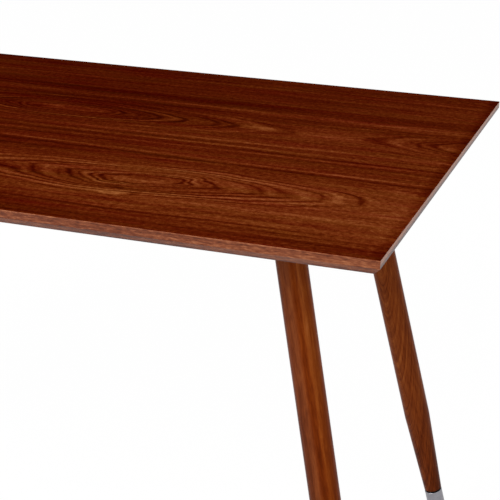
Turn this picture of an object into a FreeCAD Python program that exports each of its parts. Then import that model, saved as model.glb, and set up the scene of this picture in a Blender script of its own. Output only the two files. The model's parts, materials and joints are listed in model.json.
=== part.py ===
import FreeCAD, Part
import os
import Sketcher

# A rectangular dining table: a veneered top with an undercut edge, on four round legs that splay
# outwards, taper near the floor and end in screw feet. Under the top each leg is held by a wedge
# block, and four rails join the blocks into a frame. Lengths are in millimetres, angles in degrees.
# The origin is on the floor at the table's centre, +X along the length and +Z up.

SIZES = {
    # Top
    "top_length": 1600,
    "top_width": 900,
    "table_height": 750,
    "edge_height": 11,
    "bevel_height": 9,
    "bevel_inset": 8,
    "lipping_width": 30,
    "veneer_thickness": 0.6,
    # Legs
    "leg_end_inset": 194.5,
    "leg_side_inset": 249.2,
    "end_splay_angle": 13.165,
    "side_splay_angle": 8.183,
    "leg_diameter": 44,
    "leg_tip_diameter": 31,
    "taper_length": 155,
    "edge_ease": 0.8,
    # Blocks and rails under the top
    "block_depth": 38,
    "block_size": 104,
    "block_corner_round": 8,
    "rail_height": 40,
    "rail_thickness": 24,
    # Hanger bolts and the nuts they screw into
    "bolt_diameter": 10,
    "bolt_depth_in_leg": 55,
    "bolt_depth_in_block": 22,
    "bolt_point_length": 8,
    "nut_diameter": 16,
    "nut_length": 26,
    # Wood screws
    "screw_diameter": 5,
    "screw_head_diameter": 10,
    "screw_head_height": 3.5,
    "screw_seat_drop": 14,
    "screw_bite": 12,
    "screw_spacing": 72,
    # Dowels between rails and blocks
    "dowel_diameter": 8,
    "dowel_length": 40,
    # Screw feet
    "insert_diameter": 14,
    "insert_length": 26,
    "insert_hole_spare": 2,
    "flange_diameter": 30,
    "flange_thickness": 3,
    "sleeve_diameter": 31,
    "sleeve_length": 47,
    "recess_diameter": 24,
    "recess_depth": 14,
    "stud_diameter": 8,
    "foot_travel": 10,
    "thread_engagement": 12,
    "neck_diameter": 5,
    "ball_diameter": 10,
    "ball_drop": 0.7,
    "ball_height": 9,
    "boss_diameter": 16,
    "boss_rise": 3,
    "pad_diameter": 28,
    "pad_thickness": 4,
    # Clearances
    "seat_clearance": 0.05,
    "thread_clearance": 0.08,
    "socket_clearance": 0.3,
    "stop_gap": 0.3,
    "overrun": 5,
}

# Places worked out from the sizes. A leg's own places are distances down its axis from the underside.
DERIVED = {
    "top_thickness": "Sizes.edge_height + Sizes.bevel_height",
    "underside": "Sizes.table_height - top_thickness",
    "core_length": "Sizes.top_length - 2 * Sizes.lipping_width",
    "core_width": "Sizes.top_width - 2 * Sizes.lipping_width",
    "slope_x": "tan(Sizes.end_splay_angle * 1deg)",
    "slope_y": "tan(Sizes.side_splay_angle * 1deg)",
    "stretch": "sqrt(1 + slope_x ^ 2 + slope_y ^ 2)",
    "leg_x": "Sizes.top_length / 2 - Sizes.leg_end_inset",
    "leg_y": "Sizes.top_width / 2 - Sizes.leg_side_inset",
    "block_height": "Sizes.block_depth + Sizes.block_size",
    "block_x": "leg_x + slope_x * Sizes.block_depth / stretch / 2",
    "block_y": "leg_y + slope_y * Sizes.block_depth / stretch / 2",
    "rail_half_length": "block_x - Sizes.block_size / 2",
    "cross_rail_half_length": "block_y - Sizes.block_size / 2",
    "pad_drop": "underside - Sizes.ball_height",
    "pad_x": "leg_x + slope_x * pad_drop",
    "pad_y": "leg_y + slope_y * pad_drop",
    "ball_place": "pad_drop * stretch",
    "sleeve_bottom": "ball_place - Sizes.ball_drop",
    "recess_top": "sleeve_bottom - Sizes.recess_depth",
    "sleeve_top": "sleeve_bottom - Sizes.sleeve_length",
    "flange_bottom": "sleeve_top - Sizes.stop_gap",
    "leg_bottom": "flange_bottom - Sizes.flange_thickness",
    "taper_top": "leg_bottom - Sizes.taper_length",
    "stud_top": "flange_bottom - Sizes.foot_travel - Sizes.thread_engagement",
}

# Corner names with their signs along X and Y; the front is at -Y
CORNERS = {
    "front_right": (1, -1),
    "front_left": (-1, -1),
    "rear_right": (1, 1),
    "rear_left": (-1, 1),
}

# Screws along each rail as shares of its half length, dowels as shares of the rail's height
RAIL_SCREW_SHARES = (-0.75, -0.25, 0.25, 0.75)
CROSS_RAIL_SCREW_SHARES = (-0.45, 0.45)
DOWEL_HEIGHT_SHARES = (0.3, 0.7)

UPRIGHT = "rotation(vector(0; 0; 1); 0deg)"
ALONG_X = "rotation(vector(0; 1; 0); 90deg)"
ALONG_Y = "rotation(vector(1; 0; 0); -90deg)"

doc = FreeCAD.newDocument("dining_table")


def make_sheet():
    """The spreadsheet with one named cell for each driving dimension."""
    sheet = doc.addObject("Spreadsheet::Sheet", "Sizes")
    for row, (alias, value) in enumerate(SIZES.items(), start=1):
        sheet.set(f"A{row}", alias)
        sheet.set(f"B{row}", str(value))
        sheet.setAlias(f"B{row}", alias)
    doc.recompute()
    return sheet


def make_derived():
    """The values that follow from the sheet, each kept as a formula."""
    derived = doc.addObject("App::VarSet", "Derived")
    for name, formula in DERIVED.items():
        derived.addProperty("App::PropertyFloat", name)
        derived.setExpression(name, formula)
    derived.addProperty("App::PropertyAngle", "tilt")
    derived.setExpression("tilt", "atan(sqrt(slope_x ^ 2 + slope_y ^ 2))")
    doc.recompute()
    return derived


def at(x, y, z, rotation=UPRIGHT):
    """A placement formula from three place formulas."""
    return f"placement(vector({x}; {y}; {z}); {rotation})"


def along_leg(corner, distance="0"):
    """The leg's frame: on its axis, a distance below the underside, with Z down the axis."""
    x, y = CORNERS[corner]
    return at(
        f"{x} * (Derived.leg_x + Derived.slope_x * ({distance}) / Derived.stretch)",
        f"{y} * (Derived.leg_y + Derived.slope_y * ({distance}) / Derived.stretch)",
        f"Derived.underside - ({distance}) / Derived.stretch",
        f"rotation(vector({-y} * Derived.slope_y; {x} * Derived.slope_x; 0); 180deg - Derived.tilt)",
    )


def primitive(kind, name, placement, **formulas):
    """A Part primitive whose sizes and place are formulas."""
    solid = doc.addObject(kind, name)
    for size, formula in formulas.items():
        solid.setExpression(size, formula)
    solid.setExpression("Placement", placement)
    return solid


def box(name, length, width, height, bottom):
    """A box centred over the table's origin."""
    corner = at(f"-({length}) / 2", f"-({width}) / 2", bottom)
    return primitive("Part::Box", name, corner, Length=length, Width=width, Height=height)


def cylinder(name, diameter, height, placement):
    return primitive("Part::Cylinder", name, placement, Radius=f"({diameter}) / 2", Height=height)


def joined(label, shapes):
    """Several shapes as one: a fused solid, or one tool for a cut."""
    fuse = doc.addObject("Part::MultiFuse", label)
    fuse.Shapes = shapes
    return fuse


def cut(label, base, tools):
    piece = doc.addObject("Part::Cut", label)
    piece.Base = base
    piece.Tool = joined(label + "_cuts", tools)
    return piece


def group(label, solids):
    """Identical small pieces kept as separate solids under one name."""
    compound = doc.addObject("Part::Compound", label)
    compound.Links = solids
    return compound


def draw_outline(sketch, outline):
    """A closed outline of straight lines through points given as pairs of formulas."""
    points = [FreeCAD.Vector(*(sketch.evalExpression(formula) for formula in point)) for point in outline]
    count = len(points)
    for index, point in enumerate(points):
        sketch.addGeometry(Part.LineSegment(point, points[(index + 1) % count]))
    for index in range(count):
        sketch.addConstraint(Sketcher.Constraint("Coincident", index, 2, (index + 1) % count, 1))
    for index, point in enumerate(outline):
        for kind, formula, axis in zip(("DistanceX", "DistanceY"), point, (-2, -1)):
            if formula == "0":
                sketch.addConstraint(Sketcher.Constraint("PointOnObject", index, 1, axis))
            else:
                length = sketch.evalExpression(formula)
                place = sketch.addConstraint(Sketcher.Constraint(kind, -1, 1, index, 1, length))
                sketch.setExpression(f"Constraints[{place}]", formula)


def turned(label, outline, placement):
    """A body turned about its own Z axis from an outline of (radius, height) formulas."""
    body = doc.addObject("PartDesign::Body", label)
    plane = next(item for item in body.Origin.OriginFeatures if item.Role == "XZ_Plane")
    sketch = body.newObject("Sketcher::SketchObject", label + "_outline")
    sketch.AttachmentSupport = [(plane, "")]
    sketch.MapMode = "FlatFace"
    draw_outline(sketch, outline)
    turn = body.newObject("PartDesign::Revolution", label + "_turn")
    turn.Profile = sketch
    turn.ReferenceAxis = (sketch, ["V_Axis"])
    body.setExpression("Placement", placement)
    return body


def add_ball(body, kind, diameter, height):
    """A ball, or a ball-shaped hollow, centred on a turned body's axis."""
    doc.recompute()
    ball = body.newObject(kind, body.Label + "_ball")
    ball.setExpression("Radius", f"({diameter}) / 2")
    ball.setExpression("Placement.Base.z", height)


def screw_at(name, x, y):
    """A wood screw driven up into the top, and the stepped hole that it sits in."""
    seat = "Derived.underside - Sizes.screw_seat_drop"
    shank_length = "Sizes.screw_seat_drop + Sizes.screw_bite"
    head_place = at(x, y, f"{seat} - Sizes.screw_head_height")
    shank = cylinder(name + "_shank", "Sizes.screw_diameter", shank_length, at(x, y, seat))
    head = cylinder(name + "_head", "Sizes.screw_head_diameter", "Sizes.screw_head_height", head_place)
    hole = cylinder(name + "_hole", "Sizes.screw_diameter + 2 * Sizes.seat_clearance", shank_length, at(x, y, seat))
    counterbore = cylinder(
        name + "_counterbore",
        "Sizes.screw_head_diameter + 2 * Sizes.seat_clearance",
        "Derived.block_height",
        at(x, y, f"{seat} - Derived.block_height"),
    )
    return joined(name, [shank, head]), hole, counterbore


def dowel_at(name, x, y, z, rotation):
    """A dowel lying across the joint of a rail and a block, and the hole that it fills."""
    start = at(x, y, z, rotation)
    dowel = cylinder(name, "Sizes.dowel_diameter", "Sizes.dowel_length", start)
    hole_diameter = "Sizes.dowel_diameter + 2 * Sizes.seat_clearance"
    hole = cylinder(name + "_hole", hole_diameter, "Sizes.dowel_length", start)
    return dowel, hole


def make_lippings():
    """Four solid edge strips, mitred at the corners, with the undercut bevel along their lower edge."""
    upper = box(
        "top_edge_band",
        "Sizes.top_length",
        "Sizes.top_width",
        "Sizes.edge_height - Sizes.veneer_thickness",
        "Derived.underside + Sizes.bevel_height",
    )
    lower = primitive(
        "Part::Wedge",
        "top_bevel",
        at("0", "0", "Derived.underside", "rotation(vector(1; 0; 0); 90deg)"),
        Xmin="-Sizes.top_length / 2 + Sizes.bevel_inset",
        Xmax="Sizes.top_length / 2 - Sizes.bevel_inset",
        Ymin="0",
        Ymax="Sizes.bevel_height",
        Zmin="-Sizes.top_width / 2 + Sizes.bevel_inset",
        Zmax="Sizes.top_width / 2 - Sizes.bevel_inset",
        X2min="-Sizes.top_length / 2",
        X2max="Sizes.top_length / 2",
        Z2min="-Sizes.top_width / 2",
        Z2max="Sizes.top_width / 2",
    )
    slab = joined("top_slab", [upper, lower])
    sides = {
        "front": ("0", "-Sizes.top_width / 2", "Sizes.top_length", 0),
        "rear": ("0", "Sizes.top_width / 2", "Sizes.top_length", 180),
        "right": ("Sizes.top_length / 2", "0", "Sizes.top_width", 90),
        "left": ("-Sizes.top_length / 2", "0", "Sizes.top_width", -90),
    }
    lippings = []
    for side, (x, y, length, turn) in sides.items():
        strip = primitive(
            "Part::Wedge",
            f"edge_strip_{side}",
            at(x, y, "Derived.underside", f"rotation(vector(0; 0; 1); {turn}deg)"),
            Xmin=f"-{length} / 2",
            Xmax=f"{length} / 2",
            Ymin="0",
            Ymax="Sizes.lipping_width",
            Zmin="0",
            Zmax="Derived.top_thickness",
            X2min=f"-{length} / 2 + Sizes.lipping_width",
            X2max=f"{length} / 2 - Sizes.lipping_width",
            Z2min="0",
            Z2max="Derived.top_thickness",
        )
        lipping = doc.addObject("Part::Common", f"edge_lipping_{side}")
        lipping.Base = slab
        lipping.Tool = strip
        lippings.append(lipping)
    return lippings


def make_top(screw_holes):
    """The board inside the lippings, faced with veneer on both sides; screws bite into it from below."""
    veneer = "Sizes.veneer_thickness"
    plan = ("Derived.core_length", "Derived.core_width")
    board = box("core_board", *plan, f"Derived.top_thickness - 2 * {veneer}", f"Derived.underside + {veneer}")
    backing = box("backing_sheet", *plan, veneer, "Derived.underside")
    face = box("top_veneer", "Sizes.top_length", "Sizes.top_width", veneer, f"Sizes.table_height - {veneer}")
    return [face, cut("top_core", board, screw_holes), cut("underside_veneer", backing, screw_holes)]


def make_leg(corner):
    """A turned leg: a long cylinder, then a cone, with a hole at each end for its fastener."""
    bolt_hole = "Sizes.bolt_diameter / 2 + Sizes.seat_clearance"
    insert_hole = "Sizes.insert_diameter / 2 + Sizes.seat_clearance"
    insert_end = "Derived.leg_bottom - Sizes.insert_length - Sizes.insert_hole_spare"
    bolt_end = "Sizes.block_depth + Sizes.bolt_depth_in_leg"
    outline = [
        (bolt_hole, "Sizes.block_depth"),
        ("Sizes.leg_diameter / 2", "Sizes.block_depth"),
        ("Sizes.leg_diameter / 2", "Derived.taper_top"),
        ("Sizes.leg_tip_diameter / 2", "Derived.leg_bottom - Sizes.edge_ease"),
        ("Sizes.leg_tip_diameter / 2 - Sizes.edge_ease", "Derived.leg_bottom"),
        (insert_hole, "Derived.leg_bottom"),
        (insert_hole, insert_end),
        ("0", insert_end),
        ("0", bolt_end),
        (bolt_hole, bolt_end),
    ]
    return turned(f"leg_{corner}", outline, along_leg(corner))


def make_block(corner, holes):
    """A wedge block: flat against the top, square to the leg's axis below, rounded at its corners."""
    x, y = CORNERS[corner]
    size = "Sizes.block_size"
    blank = primitive(
        "Part::Box",
        f"block_blank_{corner}",
        at(
            f"{x} * Derived.block_x - {size} / 2",
            f"{y} * Derived.block_y - {size} / 2",
            "Derived.underside - Derived.block_height",
        ),
        Length=size,
        Width=size,
        Height="Derived.block_height",
    )
    doc.recompute()
    radius = sheet.get("block_corner_round")
    upright = [
        index
        for index, edge in enumerate(blank.Shape.Edges, start=1)
        if edge.BoundBox.ZLength > max(edge.BoundBox.XLength, edge.BoundBox.YLength)
    ]
    rounded = doc.addObject("Part::Fillet", f"block_rounded_{corner}")
    rounded.Base = blank
    rounded.Edges = [(index, radius, radius) for index in upright]
    slope_cut = cylinder(
        f"block_slope_{corner}", f"4 * {size}", f"2 * {size}", along_leg(corner, "Sizes.block_depth")
    )
    nut_hole = cylinder(
        f"block_nut_hole_{corner}",
        "Sizes.nut_diameter + 2 * Sizes.seat_clearance",
        "Sizes.nut_length + Sizes.overrun",
        along_leg(corner, "Sizes.block_depth - Sizes.nut_length"),
    )
    return cut(f"mounting_block_{corner}", rounded, [slope_cut, nut_hole] + holes)


def make_hanger_bolt(corner):
    """A headless bolt with a wood point in the leg and a machine thread in the block's nut."""
    radius = "Sizes.bolt_diameter / 2"
    start = "Sizes.block_depth - Sizes.bolt_depth_in_block"
    end = "Sizes.block_depth + Sizes.bolt_depth_in_leg"
    outline = [
        ("0", start),
        (radius, start),
        (radius, f"{end} - Sizes.bolt_point_length"),
        ("0", end),
    ]
    return turned(f"hanger_bolt_{corner}", outline, along_leg(corner))


def make_insert_nut(corner):
    """A threaded tube set in the block, square to the leg."""
    inner = "Sizes.bolt_diameter / 2 + Sizes.seat_clearance"
    outer = "Sizes.nut_diameter / 2"
    start = "Sizes.block_depth - Sizes.nut_length"
    end = "Sizes.block_depth"
    outline = [(inner, start), (outer, start), (outer, end), (inner, end)]
    return turned(f"insert_nut_{corner}", outline, along_leg(corner))


def make_foot_insert(corner):
    """A threaded insert in the leg's end; its flange is the dark ring above the foot."""
    bore = "Sizes.stud_diameter / 2 + Sizes.thread_clearance"
    outline = [
        (bore, "Derived.leg_bottom - Sizes.insert_length"),
        ("Sizes.insert_diameter / 2", "Derived.leg_bottom - Sizes.insert_length"),
        ("Sizes.insert_diameter / 2", "Derived.leg_bottom"),
        ("Sizes.flange_diameter / 2", "Derived.leg_bottom"),
        ("Sizes.flange_diameter / 2", "Derived.flange_bottom"),
        (bore, "Derived.flange_bottom"),
    ]
    return turned(f"foot_insert_{corner}", outline, along_leg(corner))


def make_foot_sleeve(corner):
    """The foot's visible cylinder, hollow below where the pad's boss sits."""
    bore = "Sizes.stud_diameter / 2 + Sizes.seat_clearance"
    outer = "Sizes.sleeve_diameter / 2"
    eased = f"{outer} - Sizes.edge_ease"
    outline = [
        (bore, "Derived.sleeve_top"),
        (eased, "Derived.sleeve_top"),
        (outer, "Derived.sleeve_top + Sizes.edge_ease"),
        (outer, "Derived.sleeve_bottom - Sizes.edge_ease"),
        (eased, "Derived.sleeve_bottom"),
        ("Sizes.recess_diameter / 2", "Derived.sleeve_bottom"),
        ("Sizes.recess_diameter / 2", "Derived.recess_top"),
        (bore, "Derived.recess_top"),
    ]
    return turned(f"foot_sleeve_{corner}", outline, along_leg(corner))


def make_foot_stud(corner):
    """The threaded stud that the foot turns on, with a neck and a ball at its lower end."""
    outline = [
        ("0", "Derived.stud_top"),
        ("Sizes.stud_diameter / 2", "Derived.stud_top"),
        ("Sizes.stud_diameter / 2", "Derived.recess_top"),
        ("Sizes.neck_diameter / 2", "Derived.recess_top"),
        ("Sizes.neck_diameter / 2", "Derived.ball_place"),
        ("0", "Derived.ball_place"),
    ]
    stud = turned(f"foot_stud_{corner}", outline, along_leg(corner))
    add_ball(stud, "PartDesign::AdditiveSphere", "Sizes.ball_diameter", "Derived.ball_place")
    return stud


def make_foot_pad(corner):
    """A flat pad on the floor whose boss holds the stud's ball, so that it lies level."""
    x, y = CORNERS[corner]
    outer = "Sizes.pad_diameter / 2"
    boss = "Sizes.boss_diameter / 2"
    boss_top = "Sizes.ball_height + Sizes.boss_rise"
    outline = [
        ("0", "0"),
        (f"{outer} - Sizes.edge_ease", "0"),
        (outer, "Sizes.edge_ease"),
        (outer, "Sizes.pad_thickness - Sizes.edge_ease"),
        (f"{outer} - Sizes.edge_ease", "Sizes.pad_thickness"),
        (boss, "Sizes.pad_thickness"),
        (boss, f"{boss_top} - Sizes.edge_ease"),
        (f"{boss} - Sizes.edge_ease", boss_top),
        ("0", boss_top),
    ]
    pad = turned(f"foot_pad_{corner}", outline, at(f"{x} * Derived.pad_x", f"{y} * Derived.pad_y", "0"))
    socket = "Sizes.ball_diameter + 2 * Sizes.socket_clearance"
    add_ball(pad, "PartDesign::SubtractiveSphere", socket, "Sizes.ball_height")
    return pad


def make_rails():
    """Long and cross rails with their screws and dowels; also returns the dowel holes of each block."""
    long_rails = {"front_rail": -1, "rear_rail": 1}
    cross_rails = {"left_cross_rail": -1, "right_cross_rail": 1}
    corner_of = {signs: corner for corner, signs in CORNERS.items()}
    rails, screws, screw_holes, dowels = [], [], [], []
    block_holes = {corner: [] for corner in CORNERS}
    bottom = "Derived.underside - Sizes.rail_height"
    for name, side in (long_rails | cross_rails).items():
        is_long = name in long_rails
        half_length = "Derived.rail_half_length" if is_long else "Derived.cross_rail_half_length"
        line = f"{side} * Derived.block_y" if is_long else f"{side} * Derived.block_x"
        shares = RAIL_SCREW_SHARES if is_long else CROSS_RAIL_SCREW_SHARES
        tools = []
        for number, share in enumerate(shares, start=1):
            along = f"{share} * {half_length}"
            x, y = (along, line) if is_long else (line, along)
            screw, hole, counterbore = screw_at(f"{name}_screw_{number}", x, y)
            screws.append(screw)
            screw_holes.append(hole)
            tools += [hole, counterbore]
        for end in (-1, 1):
            start = f"{end} * {half_length} - Sizes.dowel_length / 2"
            corner = corner_of[(end, side) if is_long else (side, end)]
            for number, share in enumerate(DOWEL_HEIGHT_SHARES, start=1):
                x, y = (start, line) if is_long else (line, start)
                z = f"Derived.underside - {share} * Sizes.rail_height"
                dowel_name = f"{name}_dowel_{corner}_{number}"
                dowel, hole = dowel_at(dowel_name, x, y, z, ALONG_X if is_long else ALONG_Y)
                dowels.append(dowel)
                tools.append(hole)
                block_holes[corner].append(hole)
        across = "Sizes.rail_thickness"
        length, width = (f"2 * {half_length}", across) if is_long else (across, f"2 * {half_length}")
        x, y = ("0", line) if is_long else (line, "0")
        blank = primitive(
            "Part::Box",
            f"{name}_blank",
            at(f"{x} - ({length}) / 2", f"{y} - ({width}) / 2", bottom),
            Length=length,
            Width=width,
            Height="Sizes.rail_height",
        )
        rails.append(cut(name, blank, tools))
    pieces = rails + [group("rail_screws", screws), group("rail_dowels", dowels)]
    return pieces, screw_holes, block_holes


def make_blocks(block_holes):
    """The four wedge blocks and the screws that hold them to the top."""
    blocks, screws, screw_holes = [], [], []
    for corner, (x, y) in CORNERS.items():
        tools = block_holes[corner]
        for number, (across, along) in enumerate(CORNERS.values(), start=1):
            place_x = f"{x} * Derived.block_x + {across} * Sizes.screw_spacing / 2"
            place_y = f"{y} * Derived.block_y + {along} * Sizes.screw_spacing / 2"
            screw, hole, counterbore = screw_at(f"block_screw_{corner}_{number}", place_x, place_y)
            screws.append(screw)
            screw_holes.append(hole)
            tools += [hole, counterbore]
        blocks.append(make_block(corner, tools))
    return blocks + [group("block_screws", screws)], screw_holes


def make_table():
    """All pieces of the table, each a separate document object."""
    rails, rail_holes, block_holes = make_rails()
    blocks, block_screw_holes = make_blocks(block_holes)
    pieces = make_top(rail_holes + block_screw_holes) + make_lippings() + rails + blocks
    makers = (make_leg, make_foot_insert, make_foot_sleeve, make_foot_stud, make_foot_pad)
    for make in makers:
        pieces += [make(corner) for corner in CORNERS]
    pieces.append(group("hanger_bolts", [make_hanger_bolt(corner) for corner in CORNERS]))
    pieces.append(group("insert_nuts", [make_insert_nut(corner) for corner in CORNERS]))
    return pieces


def check(pieces):
    """Stops if any object failed to compute or any piece has no sound shape."""
    for item in doc.Objects:
        if {"Invalid", "Error"} & set(item.State):
            raise RuntimeError(f"{item.Label} failed: {item.State}")
    for piece in pieces:
        if piece.Shape.isNull() or not piece.Shape.isValid() or not piece.Shape.Solids:
            raise RuntimeError(f"{piece.Label} has no sound solid")


def export(pieces):
    os.makedirs("parts", exist_ok=True)
    for piece in pieces:
        piece.Shape.exportStep(f"parts/{piece.Label}.step")


sheet = make_sheet()
make_derived()
table_pieces = make_table()
doc.recompute()
check(table_pieces)
export(table_pieces)
print(len(table_pieces), "pieces written")
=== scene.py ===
import json
import math

import bmesh
import bpy
from mathutils import Matrix, Vector


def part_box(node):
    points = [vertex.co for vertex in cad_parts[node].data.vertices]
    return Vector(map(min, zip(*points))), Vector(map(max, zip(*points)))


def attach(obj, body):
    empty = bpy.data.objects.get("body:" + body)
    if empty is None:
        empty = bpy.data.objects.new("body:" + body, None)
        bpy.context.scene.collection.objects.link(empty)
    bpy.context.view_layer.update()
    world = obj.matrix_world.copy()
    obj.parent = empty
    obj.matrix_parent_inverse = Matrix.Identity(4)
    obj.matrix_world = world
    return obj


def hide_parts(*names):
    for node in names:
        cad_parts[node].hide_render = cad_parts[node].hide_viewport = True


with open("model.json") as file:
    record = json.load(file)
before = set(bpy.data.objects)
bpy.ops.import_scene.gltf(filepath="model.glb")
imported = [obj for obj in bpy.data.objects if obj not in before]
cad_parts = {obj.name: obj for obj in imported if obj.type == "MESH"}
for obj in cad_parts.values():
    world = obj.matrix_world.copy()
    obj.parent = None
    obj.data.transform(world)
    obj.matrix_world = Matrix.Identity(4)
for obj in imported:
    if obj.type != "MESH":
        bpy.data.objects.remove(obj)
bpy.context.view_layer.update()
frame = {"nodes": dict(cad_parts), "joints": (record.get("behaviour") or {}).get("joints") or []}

# A walnut dining table with round splayed legs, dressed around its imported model.
# All places are in metres in the model's own frame: +X along the table, +Z up, the front at -Y.

nodes = frame["nodes"]
joints = {joint["name"]: joint for joint in frame["joints"]}
CORNERS = ("front_right", "front_left", "rear_right", "rear_left")
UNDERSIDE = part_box("underside_veneer")[0].z
LIPPING_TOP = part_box("edge_lipping_front")[1].z

# Camera, from fitting the edges of the top and the legs in the photograph
CAMERA_PLACE = Vector((1.1006, -1.8447, 1.2519))
CAMERA_YAW = math.radians(-18.174)
CAMERA_PITCH = math.radians(19.178)
CAMERA_ROLL = math.radians(1.6456)
CAMERA_REACH = 200
FOCAL_PIXELS = 1318.5
IMAGE_PIXELS = 500
SENSOR_MM = 36

# Studio: a floor that is mostly a glowing white where it is seen, and a world with less light than it shows
FLOOR_SIZE = 60
FLOOR_COLOUR = (0.6, 0.6, 0.6)
FLOOR_WHITE_SHARE = 0.88
FLOOR_GLOW = 1.08
WORLD_STRENGTH = 0.55

# Soft boxes: name, place, target, size and power in watts
LAMPS = (
    ("key_light", (-1.7, -3.4, 2.4), (0.4, 0, 0.7), 2.2, 126),
    ("fill_light", (3.0, -2.0, 1.8), (0.4, 0, 0.7), 2.0, 25),
    ("low_light", (-1.8, -2.6, 0.9), (0.6, -0.2, 0.4), 0.9, 16),
)

# The middle of a colour ramp, and the shift that leaves a hue as it is
MID_TONE = 0.5
SAME_HUE = 0.5


class Number:
    """A number inside a material: sums and products of these become math nodes."""

    def __init__(self, graph, socket):
        self.graph = graph
        self.socket = socket

    def __add__(self, other):
        return self.graph.math("ADD", self, other)

    def __radd__(self, other):
        return self.graph.math("ADD", other, self)

    def __sub__(self, other):
        return self.graph.math("SUBTRACT", self, other)

    def __rsub__(self, other):
        return self.graph.math("SUBTRACT", other, self)

    def __mul__(self, other):
        return self.graph.math("MULTIPLY", self, other)

    def __truediv__(self, other):
        return self.graph.math("DIVIDE", self, other)

    def __abs__(self):
        return self.graph.math("ABSOLUTE", self)


class Graph:
    """A material's nodes, built by short calls."""

    def __init__(self, name):
        self.material = bpy.data.materials.new(name)
        self.material.use_nodes = True
        self.tree = self.material.node_tree
        self.shader = self.tree.nodes["Principled BSDF"]

    def feed(self, socket, value):
        """Links a number or a socket to an input, or sets the input to a constant."""
        if isinstance(value, Number):
            value = value.socket
        if isinstance(value, bpy.types.NodeSocket):
            self.tree.links.new(value, socket)
        else:
            socket.default_value = value

    def node(self, kind, **settings):
        """A new node with its settings."""
        node = self.tree.nodes.new(kind)
        for name, setting in settings.items():
            setattr(node, name, setting)
        return node

    def math(self, operation, *values):
        """The number that a math node makes of numbers and constants."""
        node = self.node("ShaderNodeMath", operation=operation)
        for socket, value in zip(node.inputs, values):
            self.feed(socket, value)
        return Number(self, node.outputs[0])

    def place(self, origin=None, rotation=None):
        """X, Y and Z in the model's frame, or in a frame with its own origin and rotation."""
        coordinates = self.node("ShaderNodeTexCoord").outputs["Object"]
        if origin is not None:
            mapping = self.node("ShaderNodeMapping", vector_type="TEXTURE")
            self.feed(mapping.inputs["Vector"], coordinates)
            mapping.inputs["Location"].default_value = origin
            mapping.inputs["Rotation"].default_value = rotation
            coordinates = mapping.outputs[0]
        split = self.node("ShaderNodeSeparateXYZ")
        self.feed(split.inputs[0], coordinates)
        return [Number(self, output) for output in split.outputs]

    def noise(self, place, waves, seed, detail=2.0, roughness=0.5):
        """Noise from 0 to 1 about 0.5, with its waves per metre along each part of a place."""
        combine = self.node("ShaderNodeCombineXYZ")
        for socket, part, count in zip(combine.inputs, place, waves):
            self.feed(socket, part * count)
        node = self.node("ShaderNodeTexNoise", noise_dimensions="4D")
        self.feed(node.inputs["Vector"], combine.outputs[0])
        node.inputs["W"].default_value = seed
        node.inputs["Scale"].default_value = 1.0
        node.inputs["Detail"].default_value = detail
        node.inputs["Roughness"].default_value = roughness
        return Number(self, node.outputs[0])

    def grain(self, place, waves, **settings):
        """The same noise, about zero."""
        return self.noise(place, waves, **settings) - 0.5

    def smooth(self, value, low, high):
        """Zero below low, one above high, and a smooth step between them."""
        node = self.node("ShaderNodeMapRange", interpolation_type="SMOOTHSTEP")
        self.feed(node.inputs["Value"], value)
        node.inputs["From Min"].default_value = low
        node.inputs["From Max"].default_value = high
        return Number(self, node.outputs["Result"])

    def band(self, value, centre, width):
        """A smooth hump of height one about a centre."""
        offset = (value - centre) / width
        return self.math("EXPONENT", offset * offset * -1.0)

    def curve(self, value, points):
        """A smooth curve through points, each a value and its result."""
        low, high = points[0][0], points[-1][0]
        peak = max(result for _, result in points)
        node = self.node("ShaderNodeFloatCurve")
        line = node.mapping.curves[0].points
        while len(line) < len(points):
            line.new(1.0, 1.0)
        for point, (place, result) in zip(line, points):
            point.location = ((place - low) / (high - low), result / peak)
            point.handle_type = "AUTO_CLAMPED"
        node.mapping.update()
        self.feed(node.inputs["Value"], (value - low) / (high - low))
        return Number(self, node.outputs[0]) * peak

    def ramp(self, value, stops):
        """A colour for a value from 0 to 1, from pairs of place and linear colour."""
        node = self.node("ShaderNodeValToRGB")
        elements = node.color_ramp.elements
        while len(elements) < len(stops):
            elements.new(1.0)
        for element, (place, colour) in zip(elements, stops):
            element.position = place
            element.color = (*colour, 1.0)
        self.feed(node.inputs[0], value)
        return node.outputs[0]

    def hue(self, colour, shift, strength=1.0):
        """A colour with its hue turned and its strength changed."""
        node = self.node("ShaderNodeHueSaturation")
        self.feed(node.inputs["Hue"], shift)
        self.feed(node.inputs["Saturation"], strength)
        self.feed(node.inputs["Color"], colour)
        return node.outputs[0]

    def bump(self, height, distance):
        """Relief of the surface, with its depth in metres."""
        node = self.node("ShaderNodeBump")
        node.inputs["Distance"].default_value = distance
        self.feed(node.inputs["Height"], height)
        self.feed(self.shader.inputs["Normal"], node.outputs[0])

    def set(self, **inputs):
        """Feeds inputs of the shader, named with underscores for spaces."""
        for name, value in inputs.items():
            self.feed(self.shader.inputs[name.replace("_", " ")], value)

    def surface(self, relief, roughness, uneven, depth):
        """Roughness that varies with a relief, and the relief itself."""
        self.set(Roughness=relief * uneven + roughness)
        self.bump(relief, depth)


def paint(material, *names):
    """Gives a material to CAD nodes."""
    for name in names:
        data = nodes[name].data
        data.materials.clear()
        data.materials.append(material)


def at_corners(stem):
    """The names of the nodes at the four corners that share a stem."""
    return [stem + "_" + corner for corner in CORNERS]


def srgb(red, green, blue):
    """A linear colour from sRGB values of 0 to 255."""
    def linear(value):
        value /= 255
        return value / 12.92 if value <= 0.04045 else ((value + 0.055) / 1.055) ** 2.4
    return tuple(linear(value) for value in (red, green, blue))


# Pores of the wood: the noise levels between which they begin, and how much darker they are
PORE_LEVELS = (0.60, 0.72)
PORE_SHARE = 0.12


def wood_pores(graph, place, waves, seed):
    """One inside a pore and zero beside it."""
    return graph.smooth(graph.noise(place, waves, detail=1, seed=seed), *PORE_LEVELS)


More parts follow.
